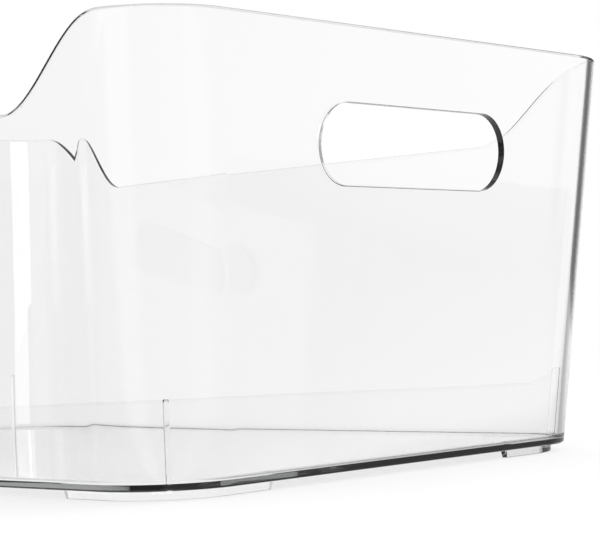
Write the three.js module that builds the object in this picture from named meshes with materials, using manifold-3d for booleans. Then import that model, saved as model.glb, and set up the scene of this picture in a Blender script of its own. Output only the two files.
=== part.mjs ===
// Clear storage box: an open tub with a finger slot in each end, on four curved corner feet.
// Lengths are millimetres, +Z is up, and the origin is on the table under the middle of the box.
// Y runs along the box, so the two high end walls with the slots face -Y and +Y.

import * as THREE from 'three';
import { mergeVertices } from 'three/addons/utils/BufferGeometryUtils.js';
import Module from 'manifold-3d';

const wasm = await Module();
wasm.setup();

// Tub: heights are taken from the underside of its floor
const baseWidth = 201;
const baseLength = 294;
const highRim = 127;
const lowRim = 103;
const cornerRadius = 28;
const draftDegrees = 5;
const wallThickness = 2.3;
const floorThickness = 1.9;
const bottomEdgeRadius = 1.2;
const floorFillet = 1.5;
const rimEdgeRadius = 0.7;

// Sweep of the rim, from the high ends down to the low sides, measured from each end of the box
const sweepStart = 19.5;
const sweepLength = 40;

// Finger slot
const slotWidth = 86;
const slotHeight = 23.5;
const slotBelowRim = 22;

// Corner feet: each ridge follows its corner and runs on a little along both walls
const footHeight = 2.7;
const footThickness = 2.6;
const footInset = 4;
const footTaper = 0.4;
const footEndLeg = 17.5;
const footSideLeg = 16;

// Nesting ribs: small upright plates on the corner diagonals
const ribHeight = 22;
const ribDepth = 3.4;
const ribThickness = 2;
const ribTopRadius = 1.5;

// Clearance of a rib to the floor and the wall that carry it, and the overrun of a cut
const seatGap = 0.3;
const cutOverrun = 10;

// Facets
const cornerSteps = 12;
const sweepSteps = 10;
const edgeSteps = 3;
const slotSteps = 16;
const footSteps = 10;

const draft = Math.tan(THREE.MathUtils.degToRad(draftDegrees));
const halfWidthAt = (z) => baseWidth / 2 + draft * z;
const halfLengthAt = (z) => baseLength / 2 + draft * z;

// Clear plastic, as near as an opaque preview allows
function clearPlastic(color) {
  return new THREE.MeshStandardMaterial({ color, roughness: 0.06, metalness: 0 });
}

// A column is one upright line of the wall. Its foot is a share of the way from the middle to the
// corner centre, plus the corner radius along the wall's outward direction.
function columnPoint(column, z, inset) {
  const reach = cornerRadius - inset;
  const x = column.shareX * (halfWidthAt(z) - cornerRadius) + reach * column.outX;
  const y = column.shareY * (halfLengthAt(z) - cornerRadius) + reach * column.outY;
  return new THREE.Vector3(x, y, z);
}

function cornerColumns(signX, signY, startDegrees) {
  const columns = [];
  for (let step = 0; step <= cornerSteps; step += 1) {
    const angle = THREE.MathUtils.degToRad(startDegrees + (90 * step) / cornerSteps);
    columns.push({ shareX: signX, shareY: signY, outX: Math.cos(angle), outY: Math.sin(angle) });
  }
  return columns;
}

// Columns on a flat side wall, close together where the rim still sweeps down
function sideColumns(sign) {
  const straight = halfLengthAt(highRim) - cornerRadius;
  const sweepOnSide = Math.max(sweepStart + sweepLength - cornerRadius, cornerRadius / sweepSteps);
  const shares = [];
  for (let step = 1; step <= sweepSteps; step += 1) {
    shares.push(1 - (sweepOnSide * step) / (sweepSteps * straight));
  }
  const falling = [...shares, ...shares.map((share) => -share).reverse()];
  return falling.map((share) => ({ shareX: sign, shareY: -sign * share, outX: sign, outY: 0 }));
}

// All columns round the tub, anticlockwise from above
function tubColumns() {
  return [
    ...cornerColumns(1, 1, 0),
    ...cornerColumns(-1, 1, 90),
    ...sideColumns(-1),
    ...cornerColumns(-1, -1, 180),
    ...cornerColumns(1, -1, 270),
    ...sideColumns(1),
  ];
}

// Height of the rim over one column: level at the ends, a cosine curve down, level along the side
function rimHeight(column) {
  const fromEnd = halfLengthAt(highRim) - Math.abs(columnPoint(column, highRim, 0).y);
  const share = THREE.MathUtils.clamp((fromEnd - sweepStart) / sweepLength, 0, 1);
  return highRim - ((highRim - lowRim) * (1 - Math.cos(Math.PI * share))) / 2;
}

// Quarter turns of the section from one edge to the next, as pairs of a sine and a cosine
function quarterTurn() {
  const turns = [];
  for (let step = 0; step <= edgeSteps; step += 1) {
    const angle = (Math.PI / 2) * (step / edgeSteps);
    turns.push({ sin: Math.sin(angle), cos: Math.cos(angle) });
  }
  return turns;
}

// The wall's section under one column: up the outside, over the rim and down to the floor
function wallSection(rim) {
  const turns = quarterTurn();
  const bottomEdge = turns.map(({ sin, cos }) => ({
    z: bottomEdgeRadius * (1 - cos),
    inset: bottomEdgeRadius * (1 - sin),
  }));
  const outerRimEdge = turns.map(({ sin, cos }) => ({
    z: rim - rimEdgeRadius * (1 - sin),
    inset: rimEdgeRadius * (1 - cos),
  }));
  const innerRimEdge = turns.map(({ sin, cos }) => ({
    z: rim - rimEdgeRadius * (1 - cos),
    inset: wallThickness - rimEdgeRadius * (1 - sin),
  }));
  const fillet = turns.map(({ sin, cos }) => ({
    z: floorThickness + floorFillet * (1 - sin),
    inset: wallThickness + floorFillet * (1 - cos),
  }));
  return [...bottomEdge, ...outerRimEdge, ...innerRimEdge, ...fillet];
}

// A closed skin through rings of equal length: strips between the rings, a flat cap at each end
function loft(rings) {
  const count = rings[0].length;
  const positions = rings.flat().flatMap((point) => point.toArray());
  const triangles = [];
  for (let ring = 0; ring + 1 < rings.length; ring += 1) {
    for (let side = 0; side < count; side += 1) {
      const next = (side + 1) % count;
      const a = ring * count + side;
      const b = ring * count + next;
      triangles.push(a, b, b + count, a, b + count, a + count);
    }
  }
  const last = (rings.length - 1) * count;
  const flat = (ring) => ring.map((point) => new THREE.Vector2(point.x, point.y));
  for (const [a, b, c] of THREE.ShapeUtils.triangulateShape(flat(rings[0]), [])) {
    triangles.push(a, c, b);
  }
  for (const [a, b, c] of THREE.ShapeUtils.triangulateShape(flat(rings[rings.length - 1]), [])) {
    triangles.push(last + a, last + b, last + c);
  }
  const geometry = new THREE.BufferGeometry();
  geometry.setAttribute('position', new THREE.Float32BufferAttribute(positions, 3));
  geometry.setIndex(triangles);
  geometry.computeVertexNormals();
  return geometry;
}

function toSolid(geometry) {
  const bare = geometry.clone();
  bare.deleteAttribute('normal');
  bare.deleteAttribute('uv');
  const merged = mergeVertices(bare);
  return new wasm.Manifold(
    new wasm.Mesh({
      numProp: 3,
      vertProperties: new Float32Array(merged.attributes.position.array),
      triVerts: new Uint32Array(merged.index.array),
    }),
  );
}

function fromSolid(solid) {
  const mesh = solid.getMesh();
  const geometry = new THREE.BufferGeometry();
  geometry.setAttribute('position', new THREE.BufferAttribute(mesh.vertProperties, 3));
  geometry.setIndex(new THREE.BufferAttribute(mesh.triVerts, 1));
  geometry.computeVertexNormals();
  return geometry;
}

// A stadium bar along Y that cuts both slots at once
function slotCutter() {
  const radius = slotHeight / 2;
  const middle = highRim - slotBelowRim - radius;
  const half = slotWidth / 2 - radius;
  const outline = new THREE.Shape();
  outline.absarc(half, 0, radius, -Math.PI / 2, Math.PI / 2, false);
  outline.absarc(-half, 0, radius, Math.PI / 2, (3 * Math.PI) / 2, false);
  const depth = 2 * (halfLengthAt(highRim) + cutOverrun);
  const bar = new THREE.ExtrudeGeometry(outline, { depth, bevelEnabled: false, curveSegments: slotSteps });
  bar.translate(0, 0, -depth / 2);
  bar.rotateX(Math.PI / 2);
  bar.translate(0, 0, middle);
  return bar;
}

// Tub: walls, floor and swept rim as one thin shell, then the two finger slots
function tubGeometry() {
  const sections = tubColumns().map((column) => ({ column, section: wallSection(rimHeight(column)) }));
  const rings = sections[0].section.map((_, level) =>
    sections.map(({ column, section }) => columnPoint(column, section[level].z, section[level].inset)),
  );
  return fromSolid(toSolid(loft(rings)).subtract(toSolid(slotCutter())));
}

// One edge of a foot's ridge in plan, from its end on the end wall round to its end on the side wall
function footEdge(signX, signY, inset, shorten) {
  const centreX = baseWidth / 2 - cornerRadius;
  const centreY = baseLength / 2 - cornerRadius;
  const radius = cornerRadius - inset;
  const points = [[centreX - footEndLeg + shorten, centreY + radius]];
  for (let step = 0; step <= footSteps; step += 1) {
    const angle = (Math.PI / 2) * (1 - step / footSteps);
    points.push([centreX + radius * Math.cos(angle), centreY + radius * Math.sin(angle)]);
  }
  points.push([centreX + radius, centreY - footSideLeg + shorten]);
  return points.map(([x, y]) => [signX * x, signY * y]);
}

// A foot's ring at one height: out along the outer edge and back along the inner one
function footRing(signX, signY, z, taper) {
  const outer = footEdge(signX, signY, footInset + taper, taper);
  const inner = footEdge(signX, signY, footInset + footThickness - taper, taper).reverse();
  const ring = [...outer, ...inner].map(([x, y]) => new THREE.Vector3(x, y, z));
  return signX * signY > 0 ? ring.reverse() : ring;
}

function footGeometry(signX, signY) {
  return loft([footRing(signX, signY, 0, footTaper), footRing(signX, signY, footHeight, 0)]);
}

// A rib's outline in its own upright plane. Its long edge follows the wall, which leans out along the
// corner's diagonal, and the corner next to the floor is cut back to clear the floor's fillet.
function ribOutline() {
  const lean = draft * Math.SQRT2;
  const wallAt = (z) => lean * z - seatGap;
  const bottom = floorThickness + seatGap;
  const top = bottom + ribHeight;
  const outline = new THREE.Shape();
  outline.moveTo(wallAt(bottom) - ribDepth, bottom);
  outline.lineTo(wallAt(bottom) - floorFillet, bottom);
  outline.lineTo(wallAt(bottom + floorFillet), bottom + floorFillet);
  outline.lineTo(wallAt(top), top);
  outline.lineTo(wallAt(top) - ribDepth + ribTopRadius, top);
  outline.quadraticCurveTo(wallAt(top) - ribDepth, top, wallAt(top) - ribDepth, top - ribTopRadius);
  return outline;
}

function ribGeometry() {
  const settings = { depth: ribThickness, bevelEnabled: false, curveSegments: edgeSteps };
  const plate = new THREE.ExtrudeGeometry(ribOutline(), settings);
  plate.translate(0, 0, -ribThickness / 2);
  plate.rotateX(Math.PI / 2);
  return plate;
}

// A rib in its corner: turned onto the diagonal, with its foot at the inside of the corner
function rib(name, signX, signY) {
  const mesh = new THREE.Mesh(ribGeometry(), clearPlastic(0xdfe6e6));
  mesh.name = name;
  const diagonal = (cornerRadius - wallThickness) / Math.SQRT2;
  mesh.position.x = signX * (baseWidth / 2 - cornerRadius + diagonal);
  mesh.position.y = signY * (baseLength / 2 - cornerRadius + diagonal);
  mesh.rotation.z = Math.atan2(signY, signX);
  return mesh;
}

function foot(name, signX, signY) {
  const mesh = new THREE.Mesh(footGeometry(signX, signY), clearPlastic(0xdde4e4));
  mesh.name = name;
  return mesh;
}

function tub() {
  const mesh = new THREE.Mesh(tubGeometry(), clearPlastic(0xe6ecec));
  mesh.name = 'tub';
  return mesh;
}

// The box: the tub and its ribs stand on the feet
const corners = [
  { place: 'front_left', signX: -1, signY: -1 },
  { place: 'front_right', signX: 1, signY: -1 },
  { place: 'back_left', signX: -1, signY: 1 },
  { place: 'back_right', signX: 1, signY: 1 },
];

const box = new THREE.Group();
const raised = new THREE.Group();
raised.position.z = footHeight;
raised.add(tub());
box.add(raised);
for (const { place, signX, signY } of corners) {
  raised.add(rib(`rib_${place}`, signX, signY));
  box.add(foot(`foot_${place}`, signX, signY));
}

export default box;
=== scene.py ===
"""Clear plastic storage box, standing on a white studio table.

The moulding is worked out as surfaces in numpy: a wall section carried round the plan outline, with the rim
swept down along the sides, a finger slot in each end, four curved feet and four nesting ribs. Lengths are
metres, +Z is up, and the origin is on the table under the middle of the box.
"""

from math import cos, pi, radians, sin, tan

import bpy
import numpy as np
from mathutils import Matrix, Vector


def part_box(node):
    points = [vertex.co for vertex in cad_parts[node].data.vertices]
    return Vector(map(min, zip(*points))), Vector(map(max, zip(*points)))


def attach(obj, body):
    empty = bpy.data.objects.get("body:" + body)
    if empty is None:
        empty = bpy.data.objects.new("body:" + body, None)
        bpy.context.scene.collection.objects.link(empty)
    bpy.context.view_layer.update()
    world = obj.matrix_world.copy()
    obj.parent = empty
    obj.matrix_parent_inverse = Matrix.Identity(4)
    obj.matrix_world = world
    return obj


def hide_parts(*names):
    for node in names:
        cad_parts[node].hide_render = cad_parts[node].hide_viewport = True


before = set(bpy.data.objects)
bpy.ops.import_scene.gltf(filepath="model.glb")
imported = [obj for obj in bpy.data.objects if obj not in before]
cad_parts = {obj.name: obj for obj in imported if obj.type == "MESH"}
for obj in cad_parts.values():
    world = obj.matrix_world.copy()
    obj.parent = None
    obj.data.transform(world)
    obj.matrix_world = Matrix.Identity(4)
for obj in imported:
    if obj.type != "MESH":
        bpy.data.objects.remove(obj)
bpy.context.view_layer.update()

# Tub: heights are taken from the underside of its floor, as in the CAD part
MM = 0.001
FOOT_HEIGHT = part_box("tub")[0].z
BASE_WIDTH = 201 * MM
BASE_LENGTH = 294 * MM
HIGH_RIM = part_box("tub")[1].z - FOOT_HEIGHT
LOW_RIM = 103 * MM
CORNER_RADIUS = 28 * MM
DRAFT = tan(radians(5))
WALL = 2.3 * MM
FLOOR = 1.9 * MM
BOTTOM_EDGE = 0.7 * MM
FLOOR_FILLET = 1.5 * MM
RIM_EDGE = 0.85 * MM

# Sweep of the rim, measured from each end of the box
SWEEP_START = 19.5 * MM
SWEEP_LENGTH = 40 * MM

# Finger slot
SLOT_WIDTH = 86 * MM
SLOT_HEIGHT = 23.5 * MM
SLOT_BELOW_RIM = 22 * MM
SLOT_EDGE = 0.2 * MM
SLOT_FRAME = 3.5 * MM
SLOT_RADIUS = SLOT_HEIGHT / 2
SLOT_RUN = SLOT_WIDTH / 2 - SLOT_RADIUS
SLOT_MIDDLE = HIGH_RIM - SLOT_BELOW_RIM - SLOT_RADIUS

# Corner feet
FOOT_THICKNESS = 2.6 * MM
FOOT_INSET = 4 * MM
FOOT_TAPER = 0.4 * MM
FOOT_EDGE = 0.3 * MM
FOOT_END_LEG = 17.5 * MM
FOOT_SIDE_LEG = 16 * MM

# Nesting ribs: the offsets are the distances off the corner's diagonal, towards the end wall
RIB_HEIGHT = 22.6 * MM
RIB_DEPTH = 4.6 * MM
RIB_THICKNESS = 1.5 * MM
RIB_TOP_RADIUS = 1 * MM
RIB_EDGE = 0.3 * MM
FRONT_RIB_OFFSET = 1 * MM
BACK_RIB_OFFSET = 4.5 * MM

# How far a foot and a rib reach into the plastic that they are moulded with
JOIN = 0.6 * MM

# Fineness of the surfaces, and the angle between faces from which an edge is sharp
CORNER_STEPS = 36
SWEEP_STEPS = 28
EDGE_STEPS = 5
SLOT_EIGHTH_STEPS = 9
SLOT_STRAIGHT_STEPS = 6
FOOT_STEPS = 40
SHARP_DEGREES = 32

CORNERS = {
    "front_left": (-1, -1),
    "front_right": (1, -1),
    "back_left": (-1, 1),
    "back_right": (1, 1),
}

# Clear plastic: its grey tint in depth, the flow of its moulded walls, which fades out at the floor, and its haze
PLASTIC_IOR = 1.57
TINT_COLOUR = (0.5, 0.515, 0.51, 1)
TINT_DENSITY = 10
FLOW_SCALE = 55
FLOW_DETAIL = 1
FLOW_HEIGHT = 0.02 * MM
FLOW_STARTS = FOOT_HEIGHT + FLOOR
FLOW_FULL = FOOT_HEIGHT + 4 * FLOOR
HAZE_SCALE = 60
HAZE_DETAIL = 3
HAZE_STARTS = 0.4
HAZE_FULL = 0.8
HAZE_ROUGHNESS = 0.02

# Share of the light that a wall lets through to the table, where it meets the wall squarely and at a slant
FILM = 0.98
FILM_EDGE = 0.7

# Table: the heading and distance of its far edge, its white, its own glow, the share of the glow that is seen
# through plastic, a painted shade, and the strip along the far edge where that glow falls further, painted shade
# too
TABLE_HEADING = 36.6
TABLE_EDGE = 0.497
TABLE_SIZE = 2.5
TABLE_WHITE = 0.55
TABLE_GLOW = 0.45
SEEN_THROUGH_SHADE = 0.86
PAINTED_SHADE_STRIP = 0.08
PAINTED_SHADE_EDGE_GLOW = 0.34

# Light of the room on matt surfaces: pairs of heading, in degrees clockwise from +Y, and level
ROOM_LIGHT = (
    (-180, 0.927), (-120, 0.773), (-45, 0.618), (0, 0.824), (45, 1.133), (90, 1.288), (135, 1.236), (180, 1.03),
)

# What the plastic mirrors, as pairs of heading and grey: the room, a window above a height in degrees, and the
# table, whose greys are a painted reflection that shades the box's walls, with headings taken about the box's
# corner nearest the camera
ROOM_MIRRORED = (
    (-180, 0.6), (-115, 0.55), (-108, 0.9), (-80, 0.9), (-72, 0.45), (-20, 0.45), (-5, 1.0), (71, 1.0),
    (77, 0.17), (97, 0.17), (102, 0.95), (125, 0.95), (129, 0.84), (134, 0.66), (140, 0.6), (180, 0.6),
)
WINDOW_MIRRORED = (
    (-180, 0.0), (-80, 0.0), (-70, 1.0), (-52, 0.9), (-45, 0.5), (-34, 0.5), (-26, 1.0), (5, 1.0), (15, 0.0),
    (180, 0.0),
)
WINDOW_STARTS = 6
WINDOW_FULL = 13
TABLE_PAINTED_REFLECTION = (
    (-180, 0.74), (-170, 0.6), (-114, 0.52), (-108, 0.8), (-87, 0.8), (-80, 0.4), (-20, 0.32), (-5, 0.95),
    (80, 0.95), (88, 0.5), (98, 0.5), (104, 0.95), (112, 0.9), (124, 0.66), (134, 0.58), (152, 0.6),
    (162, 0.74), (180, 0.74),
)
NEAR_CORNER = (-0.1, -0.147, 0)

# Dim ceiling of the room: its grey, and the heights in degrees where it starts and is full
CEILING = 0.45
CEILING_STARTS = 15
CEILING_FULL = 40

# Lamps: heading in degrees, height, distance, width and height of the face, watts, and whether plastic shows it
LAMPS = {
    "left_softbox": (230, 0.72, 1.6, 0.8, 0.85, 3.7, True),
    "upper_softbox": (245, 0.66, 1.6, 0.4, 0.3, 0.7, True),
    "right_softbox": (118, 0.6, 1.8, 0.7, 0.9, 8, False),
}

# Camera, from the fit: degrees, metres, and millimetres of lens and sensor
CAMERA_PLACE = (-0.44313, -0.50568, 0.04743)
CAMERA_HEADING = 47.9895
CAMERA_PITCH = 1.4693
CAMERA_ROLL = -2.1703
SENSOR_WIDTH = 36
LENS = 114.81


def half_width(z):
    """Half the outside width at height z: the base's half plus the lean of the walls."""
    return BASE_WIDTH / 2 + DRAFT * z


def half_length(z):
    """Half the outside length at height z: the base's half plus the lean of the walls."""
    return BASE_LENGTH / 2 + DRAFT * z


def wall_points(columns, z, inset):
    """Points of the wall. A column is (share x, share y, out x, out y), and its point is the share of the way
    to the corner's centre plus (corner radius - inset) along the outward direction, at height z."""
    share_x, share_y, out_x, out_y = columns
    reach = CORNER_RADIUS - inset
    x = share_x * (half_width(z) - CORNER_RADIUS) + reach * out_x
    y = share_y * (half_length(z) - CORNER_RADIUS) + reach * out_y
    return np.stack([x, y, z + 0 * x], axis=-1)


def corner_columns(sign_x, sign_y, start):
    """Columns of a quarter turn about the corner's centre, from the start angle."""
    angle = start + np.linspace(0, pi / 2, CORNER_STEPS + 1)
    one = np.ones_like(angle)
    return np.stack([sign_x * one, sign_y * one, np.cos(angle), np.sin(angle)])


def side_columns(sign):
    """Columns of a long side, where the share runs from 1 to -1, close together where the rim sweeps down."""
    straight = half_length(HIGH_RIM) - CORNER_RADIUS
    swept = SWEEP_START + SWEEP_LENGTH - CORNER_RADIUS
    near = 1 - swept / straight * np.arange(1, SWEEP_STEPS + 1) / SWEEP_STEPS
    share = np.concatenate([near, -near[::-1]])
    one = np.ones_like(share)
    return np.stack([sign * one, -sign * share, sign * one, 0 * share])


def slot_outline():
    """The slot's outline as (x of the turn's centre, angle), anticlockwise as seen from the front. It starts an
    eighth of a turn below the middle of the right end, and has the same number of points as the slot's frame."""
    run = SLOT_RUN
    eighth = SLOT_EIGHTH_STEPS
    straight = np.linspace(run, -run, SLOT_STRAIGHT_STEPS + 1)[:-1]
    right = np.linspace(-pi / 4, pi / 2, 3 * eighth + 1)[:-1]
    left = np.linspace(pi / 2, 3 * pi / 2, 4 * eighth + 1)[:-1]
    last = np.linspace(-pi / 2, -pi / 4, eighth + 1)[:-1]
    angle = np.concatenate([right, 0 * straight + pi / 2, left, 0 * straight - pi / 2, last])
    centre = np.concatenate([0 * right + run, straight, 0 * left - run, -straight, 0 * last + run])
    return centre, angle


def slot_frame_heights():
    """Heights of the wall's rows beside a slot: where rays an equal turn apart, from the middle of the slot's
    end, meet the upright side of its frame."""
    angle = np.linspace(-pi / 4, pi / 4, 2 * SLOT_EIGHTH_STEPS + 1)
    return SLOT_MIDDLE + (SLOT_RADIUS + SLOT_FRAME) * np.tan(angle)


def slot_frame_shares():
    """Shares of an end wall's columns above and below a slot, from left to right, met in the same way by rays
    to the level sides of its frame, with equal steps over the straight run."""
    turn = np.tan(np.linspace(0, pi / 4, SLOT_EIGHTH_STEPS + 1))
    right = SLOT_RUN + (SLOT_RADIUS + SLOT_FRAME) * turn
    straight = np.linspace(-SLOT_RUN, SLOT_RUN, SLOT_STRAIGHT_STEPS + 1)
    x = np.concatenate([-right[::-1], straight[1:-1], right])
    return x / (half_width(SLOT_MIDDLE) - CORNER_RADIUS)


def end_columns(sign):
    """Columns of an end wall, in the order in which they go round the box."""
    share = slot_frame_shares()
    one = np.ones_like(share)
    return np.stack([-sign * share, sign * one, 0 * share, sign * one])


def tub_columns():
    """All columns round the tub, anticlockwise from above, and the first columns of its back and front walls."""
    parts = [
        corner_columns(1, 1, 0),
        end_columns(1),
        corner_columns(-1, 1, pi / 2),
        side_columns(-1),
        corner_columns(-1, -1, pi),
        end_columns(-1),
        corner_columns(1, -1, 3 * pi / 2),
        side_columns(1),
    ]
    starts = np.cumsum([0] + [part.shape[1] for part in parts])
    return np.concatenate(parts, axis=1), starts[1], starts[5]


def rim_heights(columns):
    """Rim over each column: level at the ends, half a cosine wave down, level along the side."""
    from_end = half_length(HIGH_RIM) - np.abs(wall_points(columns, HIGH_RIM, 0)[:, 1])
    share = np.clip((from_end - SWEEP_START) / SWEEP_LENGTH, 0, 1)
    return HIGH_RIM - (HIGH_RIM - LOW_RIM) * (1 - np.cos(pi * share)) / 2


def wall_rings(columns):
    """Rings of the tub's skin: round the bottom edge, up the outside past the slots, over the rounded rim, down
    the inside past the slots and round the fillet to the floor. Each edge is a quarter turn of its radius.
    Returns them with the first row beside the slots outside, and inside, where the rows run down."""
    rim = rim_heights(columns)
    level = 0 * rim
    turn = np.linspace(0, pi / 2, EDGE_STEPS + 1)
    beside = slot_frame_heights() / HIGH_RIM
    rows = [(level + BOTTOM_EDGE * (1 - cos(t)), BOTTOM_EDGE * (1 - sin(t))) for t in turn]
    outside = len(rows)
    rows += [(share * rim, 0) for share in beside]
    rows += [(rim - RIM_EDGE * (1 - sin(t)), RIM_EDGE * (1 - cos(t))) for t in turn]
    rows += [(rim - RIM_EDGE * (1 - cos(t)), WALL - RIM_EDGE * (1 - sin(t))) for t in turn]
    inside = len(rows)
    rows += [(share * rim, WALL) for share in beside[::-1]]
    rows += [(level + FLOOR + FLOOR_FILLET * (1 - sin(t)), WALL + FLOOR_FILLET * (1 - cos(t))) for t in turn]
    return np.stack([wall_points(columns, z, inset) for z, inset in rows]), outside, inside


def band_faces(rows, count):
    """Quads of a closed band, as an array of (rows - 1, count, 4) vertex numbers."""
    row, column = np.meshgrid(np.arange(rows - 1), np.arange(count), indexing="ij")
    a, b = row * count + column, row * count + (column + 1) % count
    return np.stack([a, b, b + count, a + count], axis=-1)


def frame_loop(count, lower_row, up, right_column, left):
    """Vertex numbers round a slot's frame in the skin, in step with slot_outline."""
    tall, wide = 2 * SLOT_EIGHTH_STEPS, 2 * SLOT_EIGHTH_STEPS + SLOT_STRAIGHT_STEPS
    rise, run = np.arange(tall), np.arange(wide)
    rows = np.concatenate([rise, 0 * run + tall, tall - rise, 0 * run])
    columns = np.concatenate([0 * rise, run, 0 * rise + wide, wide - run])
    return (lower_row + up * rows) * count + right_column + left * columns


def slot_sleeve(sign):
    """Rings of a slot's cut face. Each is the outline moved outwards by away and into the wall by depth, with a
    rounded edge at both faces of the wall."""
    centre, angle = slot_outline()
    turn = np.linspace(0, pi / 2, EDGE_STEPS + 1)
    away = SLOT_EDGE * (1 - np.sin(turn))
    depth = SLOT_EDGE * (1 - np.cos(turn))
    rings = []
    for out, into in zip([*away, *away[::-1]], [*depth, *(WALL - depth[::-1])]):
        x = centre + (SLOT_RADIUS + out) * np.cos(angle)
        z = SLOT_MIDDLE + (SLOT_RADIUS + out) * np.sin(angle)
        rings.append(np.stack([x, sign * (half_length(z) - into), z], axis=-1))
    return np.stack(rings)


def tub_skin():
    """Points and faces of the tub, whose skin has a frame left open for each slot, filled by its sleeve."""
    columns, back_start, front_start = tub_columns()
    rings, outside, inside = wall_rings(columns)
    rows, count = rings.shape[:2]
    cells = band_faces(rows, count)
    tall, wide = 2 * SLOT_EIGHTH_STEPS, 2 * SLOT_EIGHTH_STEPS + SLOT_STRAIGHT_STEPS
    open_cell = np.zeros(cells.shape[:2], bool)
    points = [rings.reshape(-1, 3)]
    faces = []
    for sign, start in ((1, back_start), (-1, front_start)):
        for row in (outside, inside):
            open_cell[row : row + tall, start : start + wide] = True
        right, left = (start, 1) if sign > 0 else (start + wide, -1)
        sleeve = slot_sleeve(sign)
        length = sleeve.shape[1]
        first = sum(len(p) for p in points)
        loops = [frame_loop(count, outside, 1, right, left)]
        loops += [first + ring * length + np.arange(length) for ring in range(len(sleeve))]
        loops += [frame_loop(count, inside + tall, -1, right, left)]
        points.append(sleeve.reshape(-1, 3))
        for near, far in zip(loops, loops[1:]):
            strip = np.stack([near, np.roll(near, -1), np.roll(far, -1), far], axis=-1)
            faces += (strip[:, ::-1] if sign > 0 else strip).tolist()
    faces += cells[~open_cell].tolist()
    faces.append(list(range(count))[::-1])
    faces.append(list(range((rows - 1) * count, rows * count)))
    return np.concatenate(points), faces


def foot_edge(sign_x, sign_y, inset, shorten):
    """Plan of one side of a foot's ridge: along the end wall, a quarter turn at this inset, along the side."""
    centre_x, centre_y = BASE_WIDTH / 2 - CORNER_RADIUS, BASE_LENGTH / 2 - CORNER_RADIUS
    radius = CORNER_RADIUS - inset
    angle = np.linspace(pi / 2, 0, FOOT_STEPS + 1)
    x = np.concatenate([[-FOOT_END_LEG + shorten], radius * np.cos(angle), [radius]])
    y = np.concatenate([[radius], radius * np.sin(angle), [-FOOT_SIDE_LEG + shorten]])
    return np.stack([sign_x * (centre_x + x), sign_y * (centre_y + y)], axis=-1)


def foot_rings(sign_x, sign_y):
    """Rings of a foot's ridge from the table up into the tub's floor, narrower below and rounded at its foot."""
    turn = np.linspace(0, pi / 2, EDGE_STEPS + 1)
    heights = [*(FOOT_EDGE * (1 - np.cos(turn))), FOOT_HEIGHT, FOOT_HEIGHT + JOIN]
    tapers = [*(FOOT_TAPER + FOOT_EDGE * (1 - np.sin(turn))), 0, 0]
    rings = []
    for z, taper in zip(heights, tapers):
        outer = foot_edge(sign_x, sign_y, FOOT_INSET + taper, taper)
        inner = foot_edge(sign_x, sign_y, FOOT_INSET + FOOT_THICKNESS - taper, taper)[::-1]
        plan = np.concatenate([outer, inner])
        if sign_x * sign_y > 0:
            plan = plan[::-1]
        rings.append(np.column_stack([plan, np.full(len(plan), z)]))
    return np.stack(rings)


def rib_outline(inset):
    """A rib's outline as (distance along the corner's diagonal, height): up the leaning wall, which it joins,
    level across the top, round the upper corner and down to the floor, which it joins too. The inset draws in
    its free end and its top."""
    lean = DRAFT * 2**0.5
    top = FLOOR + RIB_HEIGHT - inset
    turn = np.linspace(0, pi / 2, EDGE_STEPS + 1)
    free_end = CORNER_RADIUS - WALL - RIB_DEPTH + inset
    along = free_end + lean * top + RIB_TOP_RADIUS * (1 - np.sin(turn))
    height = top - RIB_TOP_RADIUS * (1 - np.cos(turn))
    at_wall = CORNER_RADIUS - WALL + JOIN
    low = FLOOR - JOIN
    outline = [(at_wall + lean * low, low), (at_wall + lean * top, top), *zip(along, height)]
    return np.array([*outline, (free_end + lean * low, low)])


def rib_rings(sign_x, sign_y):
    """Rings across the thickness of a rib, with rounded edges at its two faces. The rib runs along its corner's
    diagonal, moved off it towards the end wall."""
    diagonal = np.array([sign_x, sign_y]) / 2**0.5
    across = np.array([-diagonal[1], diagonal[0]])
    towards_end = np.array([-sign_x, sign_y]) / 2**0.5
    centre = np.array([sign_x * (BASE_WIDTH / 2 - CORNER_RADIUS), sign_y * (BASE_LENGTH / 2 - CORNER_RADIUS)])
    centre = centre + (BACK_RIB_OFFSET if sign_y > 0 else FRONT_RIB_OFFSET) * towards_end
    turn = np.linspace(0, pi / 2, EDGE_STEPS + 1)
    offsets = RIB_THICKNESS / 2 - RIB_EDGE * (1 - np.sin(turn))
    insets = RIB_EDGE * (1 - np.cos(turn))
    rings = []
    for offset, inset in zip([*-offsets[::-1], *offsets], [*insets[::-1], *insets]):
        outline = rib_outline(inset)
        plan = centre + outline[:, :1] * diagonal + offset * across
        rings.append(np.column_stack([plan, outline[:, 1] + FOOT_HEIGHT]))
    return np.stack(rings)[:, ::-1]


def lofted(rings):
    """Points and faces of a closed skin through rings of equal length, with a flat cap at each end."""
    rows, count = rings.shape[:2]
    faces = band_faces(rows, count).reshape(-1, 4).tolist()
    faces.append(list(range(count))[::-1])
    faces.append(list(range((rows - 1) * count, rows * count)))
    return rings.reshape(-1, 3), faces


def add_mesh(name, points, faces):
    """An object at the origin with its place in its mesh, without the points that no face uses."""
    used = np.unique(np.concatenate([np.asarray(face) for face in faces]))
    number = np.zeros(len(points), int)
    number[used] = np.arange(len(used))
    mesh = bpy.data.meshes.new(name)
    mesh.from_pydata(points[used], [], [number[face].tolist() for face in faces])
    made = bpy.data.objects.new(name, mesh)
    bpy.context.scene.collection.objects.link(made)
    return made


def fused(base, parts):
    """Joins the parts to the base as one moulding, and deletes them."""
    for part in parts:
        join = base.modifiers.new("join", "BOOLEAN")
        join.operation = "UNION"
        join.solver = "EXACT"
        join.object = part
    evaluated = base.evaluated_get(bpy.context.evaluated_depsgraph_get())
    mesh = bpy.data.meshes.new_from_object(evaluated)
    base.modifiers.clear()
    base.data = mesh
    for part in parts:
        bpy.data.objects.remove(part)


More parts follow.
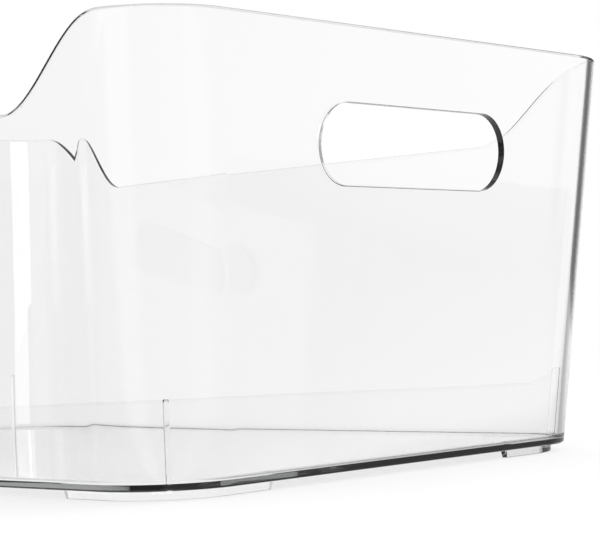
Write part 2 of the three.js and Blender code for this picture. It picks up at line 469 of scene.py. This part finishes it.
def box_moulding():
    """The whole box as one clear moulding: the tub with its feet below and its ribs inside."""
    points, faces = tub_skin()
    box = add_mesh("clear_box", points + np.array([0, 0, FOOT_HEIGHT]), faces)
    parts = []
    for place, (sign_x, sign_y) in CORNERS.items():
        parts.append(add_mesh(f"foot_{place}", *lofted(foot_rings(sign_x, sign_y))))
        parts.append(add_mesh(f"rib_{place}", *lofted(rib_rings(sign_x, sign_y))))
    for part in parts:
        part.name = f"{part.name}_part"
    fused(box, parts)
    box.data.shade_smooth()
    box.data.set_sharp_from_angle(angle=radians(SHARP_DEGREES))
    weighted = box.modifiers.new("even shading", "WEIGHTED_NORMAL")
    weighted.keep_sharp = True
    return box


def add_node(tree, kind, inputs=(), **settings):
    """A shader node with its settings, and its inputs by name: a value, or a socket to link."""
    node = tree.nodes.new(kind)
    for name, value in settings.items():
        setattr(node, name, value)
    for name, value in dict(inputs).items():
        if isinstance(value, bpy.types.NodeSocket):
            tree.links.new(value, node.inputs[name])
        else:
            node.inputs[name].default_value = value
    return node


def mixed(tree, choice, usual, other):
    """The usual shader where the choice is 0, the other one where it is 1."""
    mix = add_node(tree, "ShaderNodeMixShader", {"Fac": choice})
    tree.links.new(usual.outputs[0], mix.inputs[1])
    tree.links.new(other.outputs[0], mix.inputs[2])
    return mix


def empty_tree(owner):
    """The node tree of a material or a world, with nothing in it."""
    owner.use_nodes = True
    owner.node_tree.nodes.clear()
    return owner.node_tree


def clear_plastic():
    """Polished clear plastic: glass-like, with faintly wavy walls as moulded ones are, a faint haze, and a grey
    tint that shows where light travels far inside it. Lamps shine through it as through a thin film."""
    material = bpy.data.materials.new("clear_plastic")
    tree = empty_tree(material)
    place = add_node(tree, "ShaderNodeTexCoord").outputs["Object"]
    flow = add_node(tree, "ShaderNodeTexNoise", {"Vector": place, "Scale": FLOW_SCALE, "Detail": FLOW_DETAIL})
    height = add_node(tree, "ShaderNodeSeparateXYZ", {"Vector": place}).outputs["Z"]
    on_wall = between(tree, height, FLOW_STARTS, FLOW_FULL, 0.0, 1.0)
    wavy = add_node(
        tree,
        "ShaderNodeBump",
        {"Height": flow.outputs["Fac"], "Strength": on_wall, "Distance": FLOW_HEIGHT},
    )
    haze = add_node(tree, "ShaderNodeTexNoise", {"Vector": place, "Scale": HAZE_SCALE, "Detail": HAZE_DETAIL})
    rough = add_node(
        tree,
        "ShaderNodeMapRange",
        {
            "Value": haze.outputs["Fac"],
            "From Min": HAZE_STARTS,
            "From Max": HAZE_FULL,
            "To Min": 0.0,
            "To Max": HAZE_ROUGHNESS,
        },
    )
    plastic = add_node(
        tree,
        "ShaderNodeBsdfPrincipled",
        {
            "Base Color": (1, 1, 1, 1),
            "Roughness": rough.outputs["Result"],
            "IOR": PLASTIC_IOR,
            "Transmission Weight": 1.0,
            "Normal": wavy.outputs["Normal"],
        },
    )
    fresnel = add_node(tree, "ShaderNodeFresnel", {"IOR": PLASTIC_IOR})
    film_colour = add_node(
        tree,
        "ShaderNodeMapRange",
        {"Value": fresnel.outputs["Fac"], "From Min": 0.0, "From Max": 1.0, "To Min": FILM, "To Max": FILM_EDGE},
    )
    film = add_node(tree, "ShaderNodeBsdfTransparent", {"Color": film_colour.outputs["Result"]})
    path = add_node(tree, "ShaderNodeLightPath").outputs
    through = mixed(tree, path["Is Diffuse Ray"], plastic, film)
    through = mixed(tree, path["Is Shadow Ray"], through, film)
    tint = add_node(tree, "ShaderNodeVolumeAbsorption", {"Color": TINT_COLOUR, "Density": TINT_DENSITY})
    output = add_node(tree, "ShaderNodeOutputMaterial")
    tree.links.new(through.outputs[0], output.inputs["Surface"])
    tree.links.new(tint.outputs[0], output.inputs["Volume"])
    return material


def between(tree, value, low, high, at_low, at_high):
    """The value carried over from one range to another with soft ends."""
    inputs = {"Value": value, "From Min": low, "From Max": high, "To Min": at_low, "To Max": at_high}
    return add_node(tree, "ShaderNodeMapRange", inputs, interpolation_type="SMOOTHSTEP").outputs["Result"]


def either(tree, choice, no, yes):
    """No where the choice is 0, yes where it is 1."""
    inputs = {"Factor": choice, "A": no, "B": yes}
    return add_node(tree, "ShaderNodeMix", inputs, data_type="FLOAT").outputs[0]


def maths(tree, operation, first, second):
    """The result of an operation on two values or sockets."""
    node = add_node(tree, "ShaderNodeMath", operation=operation)
    for socket, value in zip(node.inputs, (first, second)):
        if isinstance(value, bpy.types.NodeSocket):
            tree.links.new(value, socket)
        else:
            socket.default_value = value
    return node.outputs[0]


def level_around(tree, x, y, levels):
    """Level by the heading of (x, y): straight blends between (degrees clockwise from +Y, level) pairs, which run
    from -180 to 180."""
    heading = maths(tree, "ARCTAN2", x, y)
    inputs = {"Value": heading, "From Min": -pi, "From Max": pi, "To Min": 0.0, "To Max": 1.0}
    turn = add_node(tree, "ShaderNodeMapRange", inputs).outputs["Result"]
    node = add_node(tree, "ShaderNodeValToRGB", {"Fac": turn})
    ramp = node.color_ramp
    while len(ramp.elements) < len(levels):
        ramp.elements.new(1.0)
    for element, (degrees, level) in zip(ramp.elements, levels):
        element.position = degrees / 360 + 0.5
        element.color = (level, level, level, 1)
    return node.outputs["Color"]


def table_top():
    """White table whose far edge lies close behind the box. It is matt, with a glow of its own where it is seen,
    so that it meets the background without an edge and still takes the shadow of the box. Seen through plastic
    it glows less, a painted shade, and least along its far edge, painted shade too. Where plastic mirrors it, it
    has
    greys of its own, set by heading: a painted reflection that shades the box's walls."""
    heading = radians(TABLE_HEADING)
    away, across = np.array([sin(heading), cos(heading), 0]), np.array([cos(heading), -sin(heading), 0])
    corners = [(-TABLE_SIZE, -1), (-TABLE_SIZE, 1), (TABLE_EDGE, 1), (TABLE_EDGE, -1)]
    points = np.array([depth * away + side * TABLE_SIZE * across for depth, side in corners])
    table = add_mesh("table_top", points, [[3, 2, 1, 0]])
    material = bpy.data.materials.new("white_table")
    tree = empty_tree(material)
    path = add_node(tree, "ShaderNodeLightPath").outputs
    matt = add_node(tree, "ShaderNodeBsdfDiffuse", {"Color": (*[TABLE_WHITE] * 3, 1)})
    place = add_node(tree, "ShaderNodeTexCoord").outputs["Object"]
    depth = add_node(tree, "ShaderNodeVectorMath", {0: place, 1: away}, operation="DOT_PRODUCT").outputs["Value"]
    # Painted shade: the glow is cut where the table is seen through plastic, and cut more along its far edge.
    through = between(tree, depth, TABLE_EDGE - PAINTED_SHADE_STRIP, TABLE_EDGE, TABLE_GLOW * SEEN_THROUGH_SHADE, PAINTED_SHADE_EDGE_GLOW)
    own = either(tree, path["Is Camera Ray"], through, TABLE_GLOW)
    glow = add_node(tree, "ShaderNodeEmission", {"Color": (1, 1, 1, 1), "Strength": own})
    lit = add_node(tree, "ShaderNodeAddShader")
    tree.links.new(matt.outputs[0], lit.inputs[0])
    tree.links.new(glow.outputs[0], lit.inputs[1])
    from_corner = add_node(tree, "ShaderNodeVectorMath", {0: place, 1: NEAR_CORNER}, operation="SUBTRACT")
    x, y, _ = add_node(tree, "ShaderNodeSeparateXYZ", {"Vector": from_corner.outputs["Vector"]}).outputs
    # Painted reflection: where plastic mirrors the table, it glows in greys set by heading instead of being lit,
    # which shades the box's walls.
    grey = add_node(tree, "ShaderNodeEmission", {"Color": level_around(tree, x, y, TABLE_PAINTED_REFLECTION)})
    mirrored = maths(tree, "MINIMUM", path["Glossy Depth"], 1.0)
    seen = mixed(tree, path["Is Diffuse Ray"], mixed(tree, mirrored, lit, grey), matt)
    output = add_node(tree, "ShaderNodeOutputMaterial")
    tree.links.new(seen.outputs[0], output.inputs["Surface"])
    table.data.materials.append(material)
    return table


def studio_world():
    """White background for the camera and plain soft light for matt surfaces. What is seen straight through the
    plastic is white too, up to a dim ceiling. What the plastic mirrors, inside it or on it, is the white backdrop
    behind the box and the grey room around it, with a window, and a dark screen beside the backdrop, which draws
    the dark edges."""
    world = bpy.data.worlds.new("studio")
    tree = empty_tree(world)
    path = add_node(tree, "ShaderNodeLightPath").outputs
    direction = add_node(tree, "ShaderNodeTexCoord").outputs["Generated"]
    x, y, z = add_node(tree, "ShaderNodeSeparateXYZ", {"Vector": direction}).outputs
    ceiling = between(tree, z, sin(radians(CEILING_STARTS)), sin(radians(CEILING_FULL)), 1.0, CEILING)
    room = maths(tree, "MULTIPLY", level_around(tree, x, y, ROOM_MIRRORED), ceiling)
    above = between(tree, z, sin(radians(WINDOW_STARTS)), sin(radians(WINDOW_FULL)), 0.0, 1.0)
    window = maths(tree, "MULTIPLY", level_around(tree, x, y, WINDOW_MIRRORED), above)
    room = maths(tree, "MAXIMUM", room, window)
    mirrored = maths(tree, "MINIMUM", path["Glossy Depth"], 1.0)
    clear = either(tree, mirrored, ceiling, room)
    lit = either(tree, path["Is Diffuse Ray"], clear, level_around(tree, x, y, ROOM_LIGHT))
    seen = either(tree, path["Is Camera Ray"], lit, 1.0)
    background = add_node(tree, "ShaderNodeBackground", {"Color": (1, 1, 1, 1), "Strength": seen})
    output = add_node(tree, "ShaderNodeOutputWorld")
    tree.links.new(background.outputs[0], output.inputs["Surface"])
    bpy.context.scene.world = world


def softbox(name, heading, height, distance, width, tall, power, shown):
    """A rectangular lamp that faces the box from a heading, in degrees clockwise from +Y. Plastic mirrors it and
    lets it be seen through only where it is shown."""
    lamp = bpy.data.lights.new(name, "AREA")
    lamp.shape = "RECTANGLE"
    lamp.size = width
    lamp.size_y = tall
    lamp.energy = power
    made = bpy.data.objects.new(name, lamp)
    place = Vector((sin(radians(heading)) * distance, cos(radians(heading)) * distance, height))
    made.location = place
    made.rotation_mode = "QUATERNION"
    made.rotation_quaternion = (Vector((0, 0, HIGH_RIM / 2)) - place).to_track_quat("-Z", "Y")
    made.visible_glossy = made.visible_transmission = shown
    bpy.context.scene.collection.objects.link(made)
    return made


def photo_camera():
    """The photograph's view, from a fit to the edges of the box: close to the table, nearly level, and turned a
    little about its own axis."""
    camera = bpy.data.cameras.new("camera")
    camera.sensor_width = SENSOR_WIDTH
    camera.lens = LENS
    made = bpy.data.objects.new("camera", camera)
    bpy.context.scene.collection.objects.link(made)
    heading, pitch, roll = (radians(angle) for angle in (CAMERA_HEADING, CAMERA_PITCH, CAMERA_ROLL))
    forward = Vector((sin(heading) * cos(pitch), cos(heading) * cos(pitch), sin(pitch)))
    level = Vector((cos(heading), -sin(heading), 0))
    upright = level.cross(forward)
    right = level * cos(roll) + upright * sin(roll)
    up = -level * sin(roll) + upright * cos(roll)
    turn = Matrix((right, up, -forward)).transposed().to_4x4()
    made.matrix_world = Matrix.Translation(CAMERA_PLACE) @ turn
    bpy.context.scene.camera = made
    return made


photo_camera()
box = box_moulding()
box.data.materials.clear()
box.data.materials.append(clear_plastic())
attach(box, "root")
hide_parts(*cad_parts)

table_top()
studio_world()
for name, settings in LAMPS.items():
    softbox(name, *settings)

bpy.context.scene.view_settings.view_transform = "Standard"
